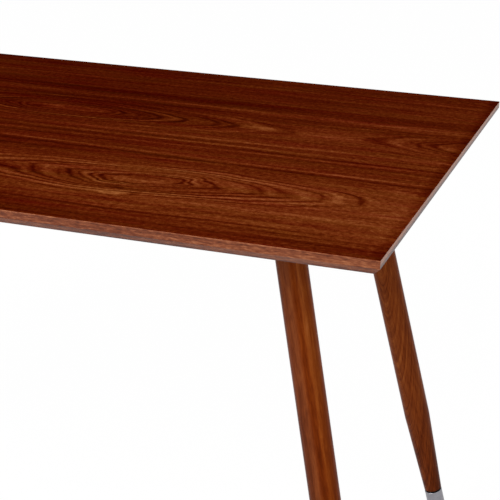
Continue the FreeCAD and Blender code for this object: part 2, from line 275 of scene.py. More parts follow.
# Figure of the top, read from the photograph. The veneer's leaves run along X. Each leaf has a centre
# line, a lean and a point of its rings, a curve of ring distance to each side of the centre line, and a
# curve of ring distance along X that is least at the eyes of the figure. Its rings are listed by
# distance, half width and lightness, and its knots by place, distance, steepness and stretch along X.
LEAVES = (
    {
        "centre": -0.255,
        "lean": 1.0,
        "point": 1.2,
        "sides": (
            (0.0, 0.0), (0.02, 0.010), (0.04, 0.022), (0.05, 0.032), (0.06, 0.047), (0.075, 0.067),
            (0.1, 0.095), (0.2, 0.2),
        ),
        "depth": (
            (-0.85, 0.012), (-0.45, 0.048), (-0.02, 0.082), (0.10, 0.062), (0.17, 0.047), (0.25, 0.038),
            (0.308, 0.0245), (0.343, 0.0168), (0.36, 0.013), (0.384, 0.008), (0.42, 0.001), (0.475, 0.013),
            (0.53, 0.0245), (0.59, 0.038), (0.63, 0.0455), (0.67, 0.0565), (0.725, 0.072), (0.85, 0.094),
        ),
        "rings": (
            (0.003, 0.003, 0.08), (0.008, 0.001, 0.16), (0.013, 0.0012, -0.38), (0.0152, 0.0008, 0.12),
            (0.0168, 0.0007, -0.34), (0.0187, 0.0009, 0.16), (0.0208, 0.0007, -0.18),
            (0.0245, 0.0011, -0.38), (0.029, 0.0008, -0.08), (0.033, 0.0016, 0.08), (0.038, 0.0009, -0.28),
            (0.0415, 0.0012, 0.12), (0.0455, 0.0012, -0.28), (0.051, 0.0024, 0.24), (0.0565, 0.001, -0.26),
            (0.0635, 0.0026, 0.22), (0.072, 0.0014, -0.24),
        ),
        "knots": ((0.405, -0.325, 0.058, 1.4, 3.0),),
    },
    {
        "centre": 0.088,
        "lean": -0.3,
        "point": 1.6,
        "sides": ((0.0, 0.0), (0.03, 0.021), (0.06, 0.048), (0.1, 0.092), (0.2, 0.2)),
        "depth": (
            (-0.85, 0.030), (-0.66, 0.003), (-0.25, 0.080), (-0.05, 0.046), (0.05, 0.021), (0.14, 0.002),
            (0.245, 0.020), (0.31, 0.033), (0.41, 0.052), (0.52, 0.071), (0.595, 0.077), (0.66, 0.072),
            (0.73, 0.057), (0.85, 0.030),
        ),
        "rings": (
            (0.006, 0.004, 0.12), (0.013, 0.002, -0.18), (0.020, 0.0014, -0.28), (0.0255, 0.0012, -0.26),
            (0.029, 0.001, -0.18), (0.033, 0.0014, -0.34), (0.0375, 0.0016, 0.12), (0.041, 0.0013, -0.30),
            (0.052, 0.0013, -0.30), (0.057, 0.0012, -0.24), (0.066, 0.003, 0.14), (0.0725, 0.002, -0.14),
        ),
        "knots": (),
    },
    {
        "centre": 0.420,
        "lean": 0.0,
        "point": 1.5,
        "sides": ((0.0, 0.0), (0.1, 0.1), (0.2, 0.2)),
        "depth": ((-0.85, 0.050), (-0.3, 0.075), (0.45, 0.070), (0.85, 0.004)),
        "rings": ((0.012, 0.002, -0.18), (0.020, 0.002, -0.16), (0.030, 0.002, -0.16)),
        "knots": (),
    },
)

# Places across of the seams between the leaves
SEAMS = (-0.0875, 0.25)

# Rings: distances from the centre line over which the eyes fade out, how softly a knot joins the rings, how
# uneven the rings are, the noise levels between which listed rings show, and shares of soft and fine rings
RING_FADE = (0.07, 0.15)
RING_MERGE = 0.008
RING_UNEVEN = 0.005
RING_LEVELS = (0.20, 0.55)
RING_SOFT = 0.22
RING_FINE = 0.50

# How far long and short waves shift the whole figure across
FIGURE_DRIFT = 0.012
FIGURE_WOBBLE = 0.006

# Bends of the figure: place along and across, half length and half width, and shift
BENDS = ((0.425, -0.375, 0.09, 0.05, 0.010), (0.27, -0.25, 0.05, 0.05, -0.013))

# Streaks along the figure: place across where X is STREAK_MIDDLE, slope, half width and lightness. They
# show between two noise levels.
STREAKS = (
    (0.194, -0.036, 0.012, 0.20), (0.168, -0.036, 0.007, -0.16), (0.235, -0.02, 0.024, -0.16),
    (0.145, -0.02, 0.020, -0.08), (-0.009, 0.010, 0.005, 0.28), (-0.025, 0.0, 0.004, -0.18),
    (-0.037, 0.0, 0.004, 0.20), (-0.052, 0.0, 0.005, -0.22), (-0.064, 0.0, 0.004, 0.18),
    (-0.078, 0.0, 0.006, -0.20), (-0.119, -0.028, 0.004, 0.26), (-0.131, -0.028, 0.005, -0.26),
    (-0.155, -0.01, 0.007, -0.14), (0.395, -0.01, 0.004, 0.10), (0.375, -0.01, 0.003, 0.10),
    (0.33, -0.01, 0.004, 0.10), (0.305, -0.01, 0.003, 0.08), (-0.328, 0.0, 0.005, 0.12),
    (-0.372, -0.01, 0.005, 0.14), (-0.386, -0.01, 0.004, -0.26), (-0.425, 0.0, 0.010, -0.18),
    (-0.405, 0.0, 0.004, -0.12), (-0.443, 0.0, 0.005, -0.14),
)
STREAK_MIDDLE = 0.4
STREAK_LEVELS = (0.25, 0.7)
STREAK_SHARE = 1.1

# Flecks of lighter or darker wood: place, half length, half width and lightness
FLECKS = (
    (0.42, -0.243, 0.035, 0.006, -0.20), (0.43, -0.263, 0.045, 0.004, 0.16),
    (0.405, -0.322, 0.030, 0.010, 0.14), (0.405, -0.304, 0.016, 0.004, -0.22),
    (0.42, -0.347, 0.040, 0.004, -0.24), (0.43, -0.360, 0.050, 0.006, 0.10),
    (0.59, 0.080, 0.08, 0.016, 0.16), (0.48, 0.092, 0.03, 0.012, 0.10),
    (0.665, 0.090, 0.018, 0.010, -0.14), (0.78, 0.075, 0.02, 0.012, 0.14),
    (0.22, -0.40, 0.12, 0.05, -0.12), (0.437, -0.318, 0.008, 0.006, -0.22),
    (0.090, 0.082, 0.012, 0.006, -0.34), (0.120, 0.093, 0.018, 0.006, 0.18),
)

# Broad tone of the top from the front edge to the rear edge and from the left end to the right end, with a
# darker margin at both ends
TOP_WIDTH_TONE = (
    (-0.45, 0.33), (-0.41, 0.40), (-0.36, 0.48), (-0.26, 0.49), (-0.17, 0.42), (-0.09, 0.37), (0.0, 0.40),
    (0.08, 0.39), (0.16, 0.34), (0.25, 0.29), (0.35, 0.30), (0.45, 0.25),
)
TOP_LENGTH_TONE = ((-0.8, 0.20), (-0.3, 0.08), (0.1, 0.05), (0.45, 0.14), (0.8, 0.20))
END_MARGIN = (0.780, 0.797)
END_DARKNESS = 0.14

# Grain of the top: waves per metre along and across, detail, roughness, seed and share of the tone
TOP_GRAIN = {
    "fibres": ((9, 130), 5, 0.8, 30, 0.45),
    "dashes": ((130, 150), 2, 0.8, 36, 0.85),
    "lines": ((0.9, 110), 3, 0.6, 33, 0.25),
    "bands": ((1.2, 55), 2, 0.5, 38, 0.30),
    "clouds": ((2.2, 5), 2, 0.5, 40, 0.20),
}
TOP_REDNESS = 0.035
WALNUT_TONES = (
    (0.0, srgb(45, 3, 0)), (0.3, srgb(72, 14, 1)), (0.5, srgb(93, 29, 5)),
    (0.7, srgb(120, 52, 18)), (1.0, srgb(160, 90, 48)),
)


def ring_distance(graph, x, across, leaf):
    """How far out in the rings of a leaf a place is."""
    offset = across - leaf["centre"]
    side = abs(offset)
    fade = 1.0 - graph.smooth(side, *RING_FADE)
    deep = graph.curve(x - offset * leaf["lean"], leaf["depth"]) * fade
    power = leaf["point"]
    beside = graph.curve(side, leaf["sides"])
    total = graph.math("POWER", beside, power) + graph.math("POWER", deep, power)
    rings = graph.math("POWER", total, 1 / power)
    for place_x, place_y, depth, steep, stretch in leaf["knots"]:
        along, aside = (x - place_x) / stretch, across - place_y
        near = graph.math("SQRT", along * along + aside * aside) * steep + depth
        rings = graph.math("SMOOTH_MIN", rings, near, RING_MERGE)
    return rings


def leaf_tone(graph, x, y, across, leaf):
    """Tone of one leaf of veneer: soft rings, fine lines along them, and its listed rings."""
    uneven = graph.grain((x, y), (28, 45), seed=4)
    rings = ring_distance(graph, x, across, leaf) + uneven * RING_UNEVEN
    soft = graph.grain((rings, y, x), (80, 5, 0.7), seed=5)
    fine = graph.grain((rings, y, x), (260, 30, 3.5), detail=3, roughness=0.7, seed=6)
    clear = graph.smooth(graph.noise((x, y), (6, 18), seed=17), *RING_LEVELS)
    lines = 0.0
    for radius, width, lightness in leaf["rings"]:
        lines = lines + graph.band(rings, radius, width) * lightness
    return soft * RING_SOFT + fine * RING_FINE + lines * clear


def streak_tone(graph, x, across):
    """Light and dark streaks, each stronger here and weaker there along its length."""
    total = 0.0
    patchy = graph.noise((x, across), (4, 60), detail=3, roughness=0.7, seed=21)
    for place, slope, width, lightness in STREAKS:
        line = (x - STREAK_MIDDLE) * slope + place
        total = total + graph.band(across - line, 0.0, width) * lightness
    return total * graph.smooth(patchy, *STREAK_LEVELS) * STREAK_SHARE


def patch(graph, x, y, place_x, place_y, length, width):
    """A smooth spot of height one, with its own half length and half width."""
    return graph.band(x, place_x, length) * graph.band(y, place_y, width)


def top_figure(graph, x, y):
    """Tone of the whole top: its leaves side by side, streaks along them, and flecks round the eyes."""
    drift = graph.grain((x, y), (1.7, 4.0), seed=3)
    wobble = graph.grain((x, y), (11, 30), seed=8)
    across = y + drift * FIGURE_DRIFT + wobble * FIGURE_WOBBLE
    for *spot, shift in BENDS:
        across = across + patch(graph, x, y, *spot) * shift
    tone = leaf_tone(graph, x, y, across, LEAVES[0])
    for seam, leaf in zip(SEAMS, LEAVES[1:]):
        beyond = graph.math("GREATER_THAN", across, seam)
        tone = tone + (leaf_tone(graph, x, y, across, leaf) - tone) * beyond
    flecks = 0.0
    for *spot, lightness in FLECKS:
        flecks = flecks + patch(graph, x, across, *spot) * lightness
    return tone + streak_tone(graph, x, across) + flecks


def make_top_walnut():
    """The top's figured veneer, with a matt lacquer."""
    graph = Graph("walnut_veneer")
    x, y, _ = graph.place()
    length = graph.curve(x, TOP_LENGTH_TONE) - graph.smooth(abs(x), *END_MARGIN) * END_DARKNESS
    tone = top_figure(graph, x, y) + length + graph.curve(y, TOP_WIDTH_TONE)
    layers = {}
    for name, (waves, detail, roughness, seed, share) in TOP_GRAIN.items():
        layers[name] = graph.grain((x, y), waves, detail=detail, roughness=roughness, seed=seed)
        tone = tone + layers[name] * share
    fibres = layers["fibres"]
    pores = wood_pores(graph, (x, y), (45, 1100), 50)
    colour = graph.ramp(tone - pores * PORE_SHARE, WALNUT_TONES)
    redness = graph.grain((x, y), (4, 40), detail=3, roughness=0.7, seed=44)
    colour = graph.hue(colour, redness * TOP_REDNESS + SAME_HUE)
    graph.set(Base_Color=colour, Specular_IOR_Level=0.0, Roughness=fibres * 0.2 + 0.5)
    graph.bump(fibres - pores, 0.00015)
    paint(graph.material, "top_veneer")


# Straight-grained boards: how far their rings wander across, and the shares of rings and fibres
BOARD_WANDER = 0.012
BOARD_RINGS = 1.3
BOARD_FIBRES = 0.55


def straight_grain(graph, place, ring, seed, fibre_share=BOARD_FIBRES):
    """Tone and fibres of a board, from places along, across and into it and the width of its rings."""
    along, across, depth = place
    wander = graph.grain(place, (2, 9, 9), seed=seed)
    place = (along, across + wander * BOARD_WANDER, depth)
    rings = graph.grain(place, (0.8, 1 / ring, 1 / ring), detail=3, roughness=0.6, seed=seed + 1)
    fibres = graph.grain(place, (16, 420, 420), detail=4, roughness=0.75, seed=seed + 2)
    pores = wood_pores(graph, place, (55, 1300, 1300), seed + 3)
    tone = rings * BOARD_RINGS + fibres * fibre_share - pores * PORE_SHARE
    return tone, fibres


# Lippings of the long sides and of the ends: nodes, gloss, a painted highlight just below the upper edge by
# half width and lightness, painted shade towards the lower edge by the heights above the underside that it
# fades between and darkness, and seed
LIPPINGS = {
    "long": {
        "nodes": ("edge_lipping_front", "edge_lipping_rear"),
        "gloss": 0.2,
        "wear": (0.0012, 0.30),
        "stain": (0.0, 0.0055, 0.22),
        "seed": 110,
    },
    "end": {
        "nodes": ("edge_lipping_left", "edge_lipping_right"),
        "gloss": 0.46,
        "wear": (0.006, 0.45),
        "stain": (0.010, 0.016, 0.5),
        "seed": 120,
    },
}

# Grain of the lippings: ring width, how much shorter its figure is than a board's, its fibres, and the
# shares of board grain and short dashes. Towards the right end they grow paler: from, to and lightness.
LIPPING_RING = 0.006
LIPPING_SHORTER = 4
LIPPING_FIBRES = 1.7
LIPPING_GRAIN = 0.75
LIPPING_DASHES = 1.5
LIPPING_PALER = (0.45, 0.8, 0.06)
EDGE_TONES = (
    (0.0, srgb(62, 22, 6)), (0.35, srgb(94, 42, 18)), (0.6, srgb(120, 62, 34)), (1.0, srgb(160, 100, 64)),
)


def make_edge_walnut(kind):
    """Solid walnut lipping, paler than the top, grained along it, with a painted highlight above and
    painted shade below.
    """
    lipping = LIPPINGS[kind]
    seed = lipping["seed"]
    graph = Graph("walnut_edge_" + kind)
    x, y, z = graph.place()
    along, across = (x, y) if kind == "long" else (y, x)
    board = (along * LIPPING_SHORTER, z, across)
    tone, fibres = straight_grain(graph, board, LIPPING_RING, seed, LIPPING_FIBRES)
    dashes = graph.grain((along, z, across), (90, 480, 480), roughness=0.7, seed=seed + 4)
    tone = tone * LIPPING_GRAIN + dashes * LIPPING_DASHES
    # Painted highlight: a lighter band just below the upper edge.
    width, lightness = lipping["wear"]
    painted_highlight = graph.band(z, LIPPING_TOP, width) * lightness
    # Painted shade: darker towards the underside of the lipping.
    low, high, darkness = lipping["stain"]
    painted_shade = (1.0 - graph.smooth(z, UNDERSIDE + low, UNDERSIDE + high)) * darkness
    start, end, paler = LIPPING_PALER
    tone = tone + painted_highlight - painted_shade + graph.smooth(x, start, end) * paler
    graph.set(Base_Color=graph.ramp(tone + MID_TONE, EDGE_TONES), Specular_IOR_Level=lipping["gloss"])
    graph.surface(fibres, roughness=0.42, uneven=0.25, depth=0.0002)
    paint(graph.material, *lipping["nodes"])


# Legs and feet. The axis of a foot's turn is its leg's axis, and distances down it are from the underside.
# The four feet are alike, so one of them gives these measures.
FOOT_TRAVEL = joints["foot_travel_front_right"]
FOOT_TURN = joints["foot_turn_front_right"]
BALL_HEIGHT = FOOT_TURN["pos_m"][2]
BALL_PLACE = (BALL_HEIGHT - UNDERSIDE) / FOOT_TURN["axis"][2]

# Stripes along a leg: place across, half width and lightness. The last and darkest, along the side towards
# -X, is painted shade.
LEG_STRIPES_AND_SHADE = (
    (0.0065, 0.0030, -0.08), (0.0132, 0.0024, 0.20), (0.019, 0.004, 0.10), (-0.001, 0.0022, 0.04),
    (-0.0105, 0.0065, -0.10), (-0.0185, 0.0040, -0.14),
)

# Wood of each leg: the heart of its rings beside the axis, how the rings slant along it, its shade,
# stripes, shares of soft and fine rings, the stretch down the leg over which it grows darker and by how
# much, how dull and how yellow it is as a whole and, as a painted sheen, on its side towards -X on top of
# that, and seed
LEGS = {
    "front_right": {
        "heart": (-0.002, 0.05), "slant": (0.004, 0.0), "shade": 0.46, "stripes": LEG_STRIPES_AND_SHADE,
        "soft": 0.15, "fine": 0.25, "darker": (0.20, 0.36, 0.10),
        "dull": (0.0, 0.05), "yellow": (0.0012, 0.005), "seed": 200,
    },
    "rear_right": {
        "heart": (0.05, 0.03), "slant": (0.22, -0.12), "shade": 0.44, "stripes": (),
        "soft": 0.35, "fine": 1.0, "darker": (0.46, 0.68, 0.20),
        "dull": (0.02, 0.01), "yellow": (0.004, 0.001), "seed": 220,
    },
    "front_left": {
        "heart": (0.03, -0.04), "slant": (-0.05, 0.03), "shade": 0.46, "stripes": (),
        "soft": 0.35, "fine": 0.8, "darker": (0.42, 0.68, 0.12),
        "dull": (0.02, 0.01), "yellow": (0.002, 0.002), "seed": 240,
    },
    "rear_left": {
        "heart": (-0.04, 0.03), "slant": (0.03, 0.05), "shade": 0.46, "stripes": LEG_STRIPES_AND_SHADE,
        "soft": 0.25, "fine": 0.6, "darker": (0.30, 0.60, 0.12),
        "dull": (0.0, 0.04), "yellow": (0.002, 0.003), "seed": 260,
    },
}

# How far rings and stripes wander across, the share of fibres, and where the painted sheen on the side
# towards -X fades out
LEG_WANDER = 0.012
STRIPE_WANDER = 0.006
LEG_FIBRES = 0.85
LEG_SHEEN_SIDE = (-0.003, 0.006)
LEG_TONES = (
    (0.0, srgb(58, 14, 0)), (0.3, srgb(97, 34, 3)), (0.5, srgb(119, 49, 8)),
    (0.7, srgb(140, 68, 20)), (1.0, srgb(166, 96, 48)),
)


def leg_frame(corner):
    """Origin and rotation of a leg's frame: Z down its axis from the underside, X near the table's X."""
    turn = joints["foot_turn_" + corner]
    down = Vector(turn["axis"]).normalized()
    origin = Vector(turn["pos_m"]) - down * BALL_PLACE
    out = down.cross(Vector((1, 0, 0))).normalized()
    sideways = out.cross(down)
    return origin, Matrix((sideways, out, down)).transposed().to_euler("XYZ")


def leg_tone(graph, leg, across, depth, along, wander):
    """Tone and fibres of a leg: rings about its heart, which lean along it and so make arches."""
    seed = leg["seed"]
    (heart_x, heart_y), (slant_x, slant_y) = leg["heart"], leg["slant"]
    beside = across - heart_x + along * slant_x + wander * LEG_WANDER
    behind = depth - heart_y + along * slant_y
    rings = graph.math("SQRT", beside * beside + behind * behind)
    soft = graph.grain((rings, along), (150, 0.8), roughness=0.6, seed=seed + 1)
    fine = graph.grain((rings, along), (420, 4), detail=3, roughness=0.7, seed=seed + 2)
    fibres = graph.grain((across, depth, along), (300, 300, 30), detail=4, roughness=0.75, seed=seed + 3)
    pores = wood_pores(graph, (across, depth, along), (1300, 1300, 55), seed + 4)
    tone = leg["shade"] + soft * leg["soft"] + fine * leg["fine"] + fibres * LEG_FIBRES
    return tone - pores * PORE_SHARE, fibres


def make_leg_walnut(corner):
    """Turned walnut with stripes along it, darker towards the foot, with a painted sheen towards -X and
    painted shade where its stripes hold it.
    """
    leg = LEGS[corner]
    graph = Graph("leg_walnut_" + corner)
    across, depth, along = graph.place(*leg_frame(corner))
    wander = graph.grain((along, across, depth), (3, 12, 12), seed=leg["seed"])
    tone, fibres = leg_tone(graph, leg, across, depth, along, wander)
    swayed = across + wander * STRIPE_WANDER
    # Some legs' stripes include a stripe of painted shade along the side towards -X.
    for place, width, lightness in leg["stripes"]:
        tone = tone + graph.band(swayed, place, width) * lightness
    start, end, darkness = leg["darker"]
    colour = graph.ramp(tone - graph.smooth(along, start, end) * darkness, LEG_TONES)
    # Painted sheen: the side towards -X is made duller and yellower.
    side = 1.0 - graph.smooth(swayed, *LEG_SHEEN_SIDE)
    dull, sheen_dull = leg["dull"]
    yellow, sheen_yellow = leg["yellow"]
    colour = graph.hue(colour, side * sheen_yellow + (SAME_HUE + yellow), 1.0 - (side * sheen_dull + dull))
    graph.set(Base_Color=colour, Specular_IOR_Level=0.03)
    graph.surface(fibres, roughness=0.30, uneven=0.2, depth=0.0002)
    paint(graph.material, "leg_" + corner)


# Rails, blocks and underside: ring widths and tones
FRAME_RING = 0.009
BACKING_RING = 0.022
FRAME_TONES = (
    (0.0, srgb(40, 16, 6)), (0.4, srgb(70, 33, 16)), (0.65, srgb(90, 48, 26)), (1.0, srgb(120, 72, 44)),
)


def make_frame_wood(axis, names, seed):
    """Stained rails and blocks, planed but not polished, with their grain along one axis."""
    graph = Graph("frame_wood_" + axis)
    place = graph.place()
    first = "xyz".index(axis)
    tone, fibres = straight_grain(graph, place[first:] + place[:first], FRAME_RING, seed)
    graph.set(Base_Color=graph.ramp(tone + MID_TONE, FRAME_TONES), Specular_IOR_Level=0.2)
    graph.surface(fibres, roughness=0.62, uneven=0.2, depth=0.0003)
    paint(graph.material, *names)


def make_backing_veneer():
    """Plain backing veneer under the top, straight in the grain and unpolished."""
    graph = Graph("backing_veneer")
    place = graph.place()
    tone, fibres = straight_grain(graph, place, BACKING_RING, 140)
    clouds = graph.grain(place[:2], (2, 4), seed=146)
    colour = graph.ramp(tone * 0.8 + clouds * 0.3 + MID_TONE, FRAME_TONES)
    graph.set(Base_Color=colour, Specular_IOR_Level=0.1)
    graph.surface(fibres, roughness=0.68, uneven=0.2, depth=0.0002)
    paint(graph.material, "underside_veneer")


def make_core_board():
    """Fibreboard: felted fibres in every direction."""
    graph = Graph("core_board")
    place = graph.place()
    felt = graph.noise(place, (900, 900, 1500), detail=4, roughness=0.7, seed=60)
    clouds = graph.noise(place, (40, 40, 40), seed=61)
    stops = ((0.3, srgb(112, 84, 56)), (0.5, srgb(150, 118, 84)), (0.7, srgb(180, 150, 112)))
    graph.set(Base_Color=graph.ramp(felt * 0.8 + clouds * 0.2, stops), Specular_IOR_Level=0.1)
    graph.surface(felt, roughness=0.75, uneven=0.2, depth=0.0002)
    paint(graph.material, "top_core")


def make_dowel_wood():
    """Beech dowels: pale wood with short dark flecks along X and Y."""
    graph = Graph("dowel_wood")
    flecks = graph.noise(graph.place(), (250, 250, 1200), detail=3, roughness=0.7, seed=70)
    stops = ((0.3, srgb(150, 110, 72)), (0.5, srgb(196, 156, 112)), (0.7, srgb(212, 176, 134)))
    graph.set(Base_Color=graph.ramp(flecks, stops))
    graph.surface(flecks, roughness=0.55, uneven=0.2, depth=0.0001)
    paint(graph.material, "rail_dowels")


def make_zinc_steel():
    """Bright zinc on steel, clouded and finely scratched."""
    graph = Graph("zinc_steel")
    place = graph.place()
    clouds = graph.noise(place, (300, 300, 300), detail=3, roughness=0.6, seed=80)
    scratch = graph.noise(place, (4000, 4000, 700), seed=81)
    stops = ((0.3, srgb(148, 148, 150)), (0.5, srgb(178, 178, 178)), (0.7, srgb(200, 199, 194)))
    graph.set(Base_Color=graph.ramp(clouds, stops), Metallic=1.0)
    graph.set(Roughness=clouds * 0.2 + scratch * 0.15 + 0.15)
    graph.bump(scratch, 0.00002)
    paint(graph.material, "rail_screws", "block_screws", "hanger_bolts", "insert_nuts")
    paint(graph.material, *at_corners("foot_stud"))
    return graph.material


def make_black_ring():
    """Black coating on the flange between leg and foot, rubbed paler in specks."""
    graph = Graph("black_ring")
    grit = graph.noise(graph.place(), (1500, 1500, 1500), detail=3, roughness=0.7, seed=90)
    stops = ((0.35, srgb(6, 5, 5)), (0.6, srgb(12, 11, 10)), (0.8, srgb(40, 34, 30)))
    graph.set(Base_Color=graph.ramp(grit, stops), Specular_IOR_Level=0.04)
    graph.surface(grit, roughness=0.5, uneven=0.3, depth=0.00005)
    paint(graph.material, *at_corners("foot_insert"))


def make_foot_metal(corner):
    """Satin grey metal, brushed round the foot."""
    graph = Graph("foot_metal_" + corner)
    place = graph.place(*leg_frame(corner))
    brush = graph.noise(place, (60, 60, 5000), detail=3, roughness=0.7, seed=95)
    clouds = graph.noise(place, (90, 90, 90), seed=96)
    stops = ((0.25, srgb(121, 119, 125)), (0.5, srgb(139, 137, 142)), (0.75, srgb(159, 157, 161)))
    graph.set(Base_Color=graph.ramp(brush * 0.7 + clouds * 0.3, stops), Metallic=1.0)
    graph.set(Roughness=brush * 0.2 + clouds * 0.1 + 0.28)
    graph.bump(brush, 0.00002)
    paint(graph.material, "foot_sleeve_" + corner)


def make_pad_plastic():
    """Moulded black plastic with a fine spark-eroded texture and dust on it."""
    graph = Graph("pad_plastic")
    place = graph.place()
    texture = graph.noise(place, (2600, 2600, 2600), seed=100)
    dust = graph.noise(place, (160, 160, 160), detail=3, roughness=0.7, seed=101)
    stops = ((0.35, srgb(18, 18, 19)), (0.55, srgb(28, 28, 28)), (0.75, srgb(52, 50, 48)))
    graph.set(Base_Color=graph.ramp(dust, stops), Specular_IOR_Level=0.35)
    graph.surface(texture, roughness=0.45, uneven=0.25, depth=0.00008)
    paint(graph.material, *at_corners("foot_pad"))
    return graph.material


# Foot studs. A stud's length is from the middle of its ball to its flat upper end, and its thread runs out
# over a short length at both ends. The ball's rings are given by degrees from its upper pole, and the
# thread's profile by share of the pitch and radius.
BALL_RADIUS = 0.005
BALL_DEGREES = range(30, 166, 15)
NECK_RADIUS = 0.0025
STUD_LENGTH = 0.070
STUD_END_RADIUS = 0.0028
STUD_END_LENGTH = 0.0002
THREAD_START = BALL_PLACE - STUD_LENGTH + STUD_END_LENGTH
THREAD_TURNS = 43
THREAD_PITCH = FOOT_TRAVEL["range_m"][1] * 360 / FOOT_TURN["range_deg"][1]
THREAD_ROOT = 0.00332
THREAD_CREST = 0.0040
THREAD_PROFILE = ((0.0, THREAD_ROOT), (0.3125, THREAD_CREST), (0.4375, THREAD_CREST), (0.75, THREAD_ROOT))
THREAD_STEPS = 24

# The angle between two faces from which their edge stays sharp
SHARP_ANGLE = math.radians(32)


def turn_angles(count):
    """Evenly spaced angles of a full turn."""
    return [2 * math.pi * step / count for step in range(count)]


def add_ring(mesh, angles, radii, height):
    """Points round an axis, with a radius for each angle."""
    return [
        mesh.verts.new((radius * math.cos(angle), radius * math.sin(angle), height))
        for angle, radius in zip(angles, radii)
    ]


def join_rings(mesh, first, second):
    """Faces between two rings with equally many points."""
    for step, point in enumerate(first):
        after = (step + 1) % len(first)
        mesh.faces.new((point, first[after], second[after], second[step]))


def close_ring(mesh, ring, height):
    """A cone or disc from a ring to a point on the axis."""
    tip = mesh.verts.new((0, 0, height))
    for step, point in enumerate(ring):
        mesh.faces.new((point, ring[(step + 1) % len(ring)], tip))


def add_piece(mesh, name, material, body, node):
    """A finished mesh as a piece that rides on a body and stands for a CAD node."""
    bmesh.ops.recalc_face_normals(mesh, faces=mesh.faces)
    data = bpy.data.meshes.new(name)
    mesh.to_mesh(data)
    mesh.free()
    data.shade_smooth()
    data.set_sharp_from_angle(angle=SHARP_ANGLE)
    data.materials.append(material)
    piece = bpy.data.objects.new(name, data)
    bpy.context.scene.collection.objects.link(piece)
    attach(piece, body)
    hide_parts(node)


def add_helix(mesh, radius, start, count):
    """Points along one line of a right-hand thread."""
    points = []
    for step in range(count):
        angle = 2 * math.pi * step / THREAD_STEPS
        height = start + THREAD_PITCH * step / THREAD_STEPS
        points.append(mesh.verts.new((radius * math.cos(angle), radius * math.sin(angle), height)))
    return points


def close_thread(mesh, ring, root, step_profile):
    """Joins a flat ring to the end of a thread, whose last turn ends in a step."""
    for step in range(THREAD_STEPS):
        mesh.faces.new((ring[step], ring[(step + 1) % THREAD_STEPS], root[step + 1], root[step]))
    mesh.faces.new([ring[0]] + step_profile)


def add_thread(mesh):
    """The threaded length of a stud; returns the ring at its upper end and the one at its lower end."""
    steps = THREAD_TURNS * THREAD_STEPS
    lines = []
    for share, radius in THREAD_PROFILE:
        count = steps + 1 + (THREAD_STEPS if share == 0 else 0)
        lines.append(add_helix(mesh, radius, THREAD_START + share * THREAD_PITCH, count))
    root = lines[0]
    lines.append(root[THREAD_STEPS:])
    for first, second in zip(lines, lines[1:]):
        for step in range(steps):
            mesh.faces.new((first[step], first[step + 1], second[step + 1], second[step]))
    angles = turn_angles(THREAD_STEPS)
    upper = add_ring(mesh, angles, [STUD_END_RADIUS] * THREAD_STEPS, THREAD_START - STUD_END_LENGTH)
    close_thread(mesh, upper, root[:THREAD_STEPS + 1], [line[0] for line in lines])
    end = THREAD_START + (THREAD_TURNS + 1) * THREAD_PITCH
    lower = add_ring(mesh, angles, [NECK_RADIUS] * THREAD_STEPS, end + STUD_END_LENGTH)
    close_thread(mesh, lower, root[steps:], [line[steps] for line in lines])
    return upper, lower


def make_foot_stud(corner, material):
    """A stud with a cut thread, a neck and the ball that sits in the pad."""
    mesh = bmesh.new()
    upper, ring = add_thread(mesh)
    close_ring(mesh, upper, THREAD_START - STUD_END_LENGTH)
    angles = turn_angles(THREAD_STEPS)
    for degrees in BALL_DEGREES:
        polar = math.radians(degrees)
        radii = [BALL_RADIUS * math.sin(polar)] * THREAD_STEPS
        below = add_ring(mesh, angles, radii, BALL_PLACE - BALL_RADIUS * math.cos(polar))
        join_rings(mesh, ring, below)
        ring = below
    close_ring(mesh, ring, BALL_PLACE + BALL_RADIUS)
    origin, rotation = leg_frame(corner)
    place = Matrix.Translation(origin) @ rotation.to_matrix().to_4x4()
    bmesh.ops.transform(mesh, matrix=place, verts=mesh.verts)
    name, node = "threaded_stud_" + corner, "foot_stud_" + corner
    add_piece(mesh, name, material, "foot_" + corner, node)


# Foot pads, by radii from the pad's axis and heights from the floor: ribs between the grooves of the sole,
# the rounded rim and the foot of the boss, then the eased boss and the socket, which has a little play
GROOVE_DEPTH = 0.0007
RIBS = ((0.0028, 0.0061), (0.0078, 0.0109))
RIB_SLOPE = 0.0005
RIM = (
    (0.0120, GROOVE_DEPTH), (0.0125, 0.0), (0.0132, 0.0), (0.0138, 0.0003),
    (0.0140, 0.0009), (0.0140, 0.0031), (0.0138, 0.0037), (0.0132, 0.0040),
    (0.0090, 0.0040), (0.0083, 0.0042), (0.0080, 0.0048),
)
BOSS_RADIUS = 0.008
BOSS_RISE = 0.003
BOSS_TOP = BALL_HEIGHT + BOSS_RISE
BOSS_EASE = 0.0006
SOCKET_PLAY = 0.0003
SOCKET_RADIUS = BALL_RADIUS + SOCKET_PLAY
SOCKET_END = math.radians(168)
SOCKET_STEPS = 8
PAD_STEPS = 48


def pad_outline():
    """Radii and heights of a pad, from the middle of its sole to the bottom of its socket."""
    outline = []
    for inner, outer in RIBS:
        outline += [(inner, GROOVE_DEPTH), (inner + RIB_SLOPE, 0.0)]
        outline += [(outer - RIB_SLOPE, 0.0), (outer, GROOVE_DEPTH)]
    outline += RIM
    outline.append((BOSS_RADIUS, BOSS_TOP - BOSS_EASE))
    outline.append((BOSS_RADIUS - BOSS_EASE / 4, BOSS_TOP - BOSS_EASE / 4))
    outline.append((BOSS_RADIUS - BOSS_EASE, BOSS_TOP))
    mouth = math.acos(BOSS_RISE / SOCKET_RADIUS)
    for step in range(SOCKET_STEPS + 1):
        polar = mouth + (SOCKET_END - mouth) * step / SOCKET_STEPS
        outline.append((SOCKET_RADIUS * math.sin(polar), BALL_HEIGHT + SOCKET_RADIUS * math.cos(polar)))
    return outline


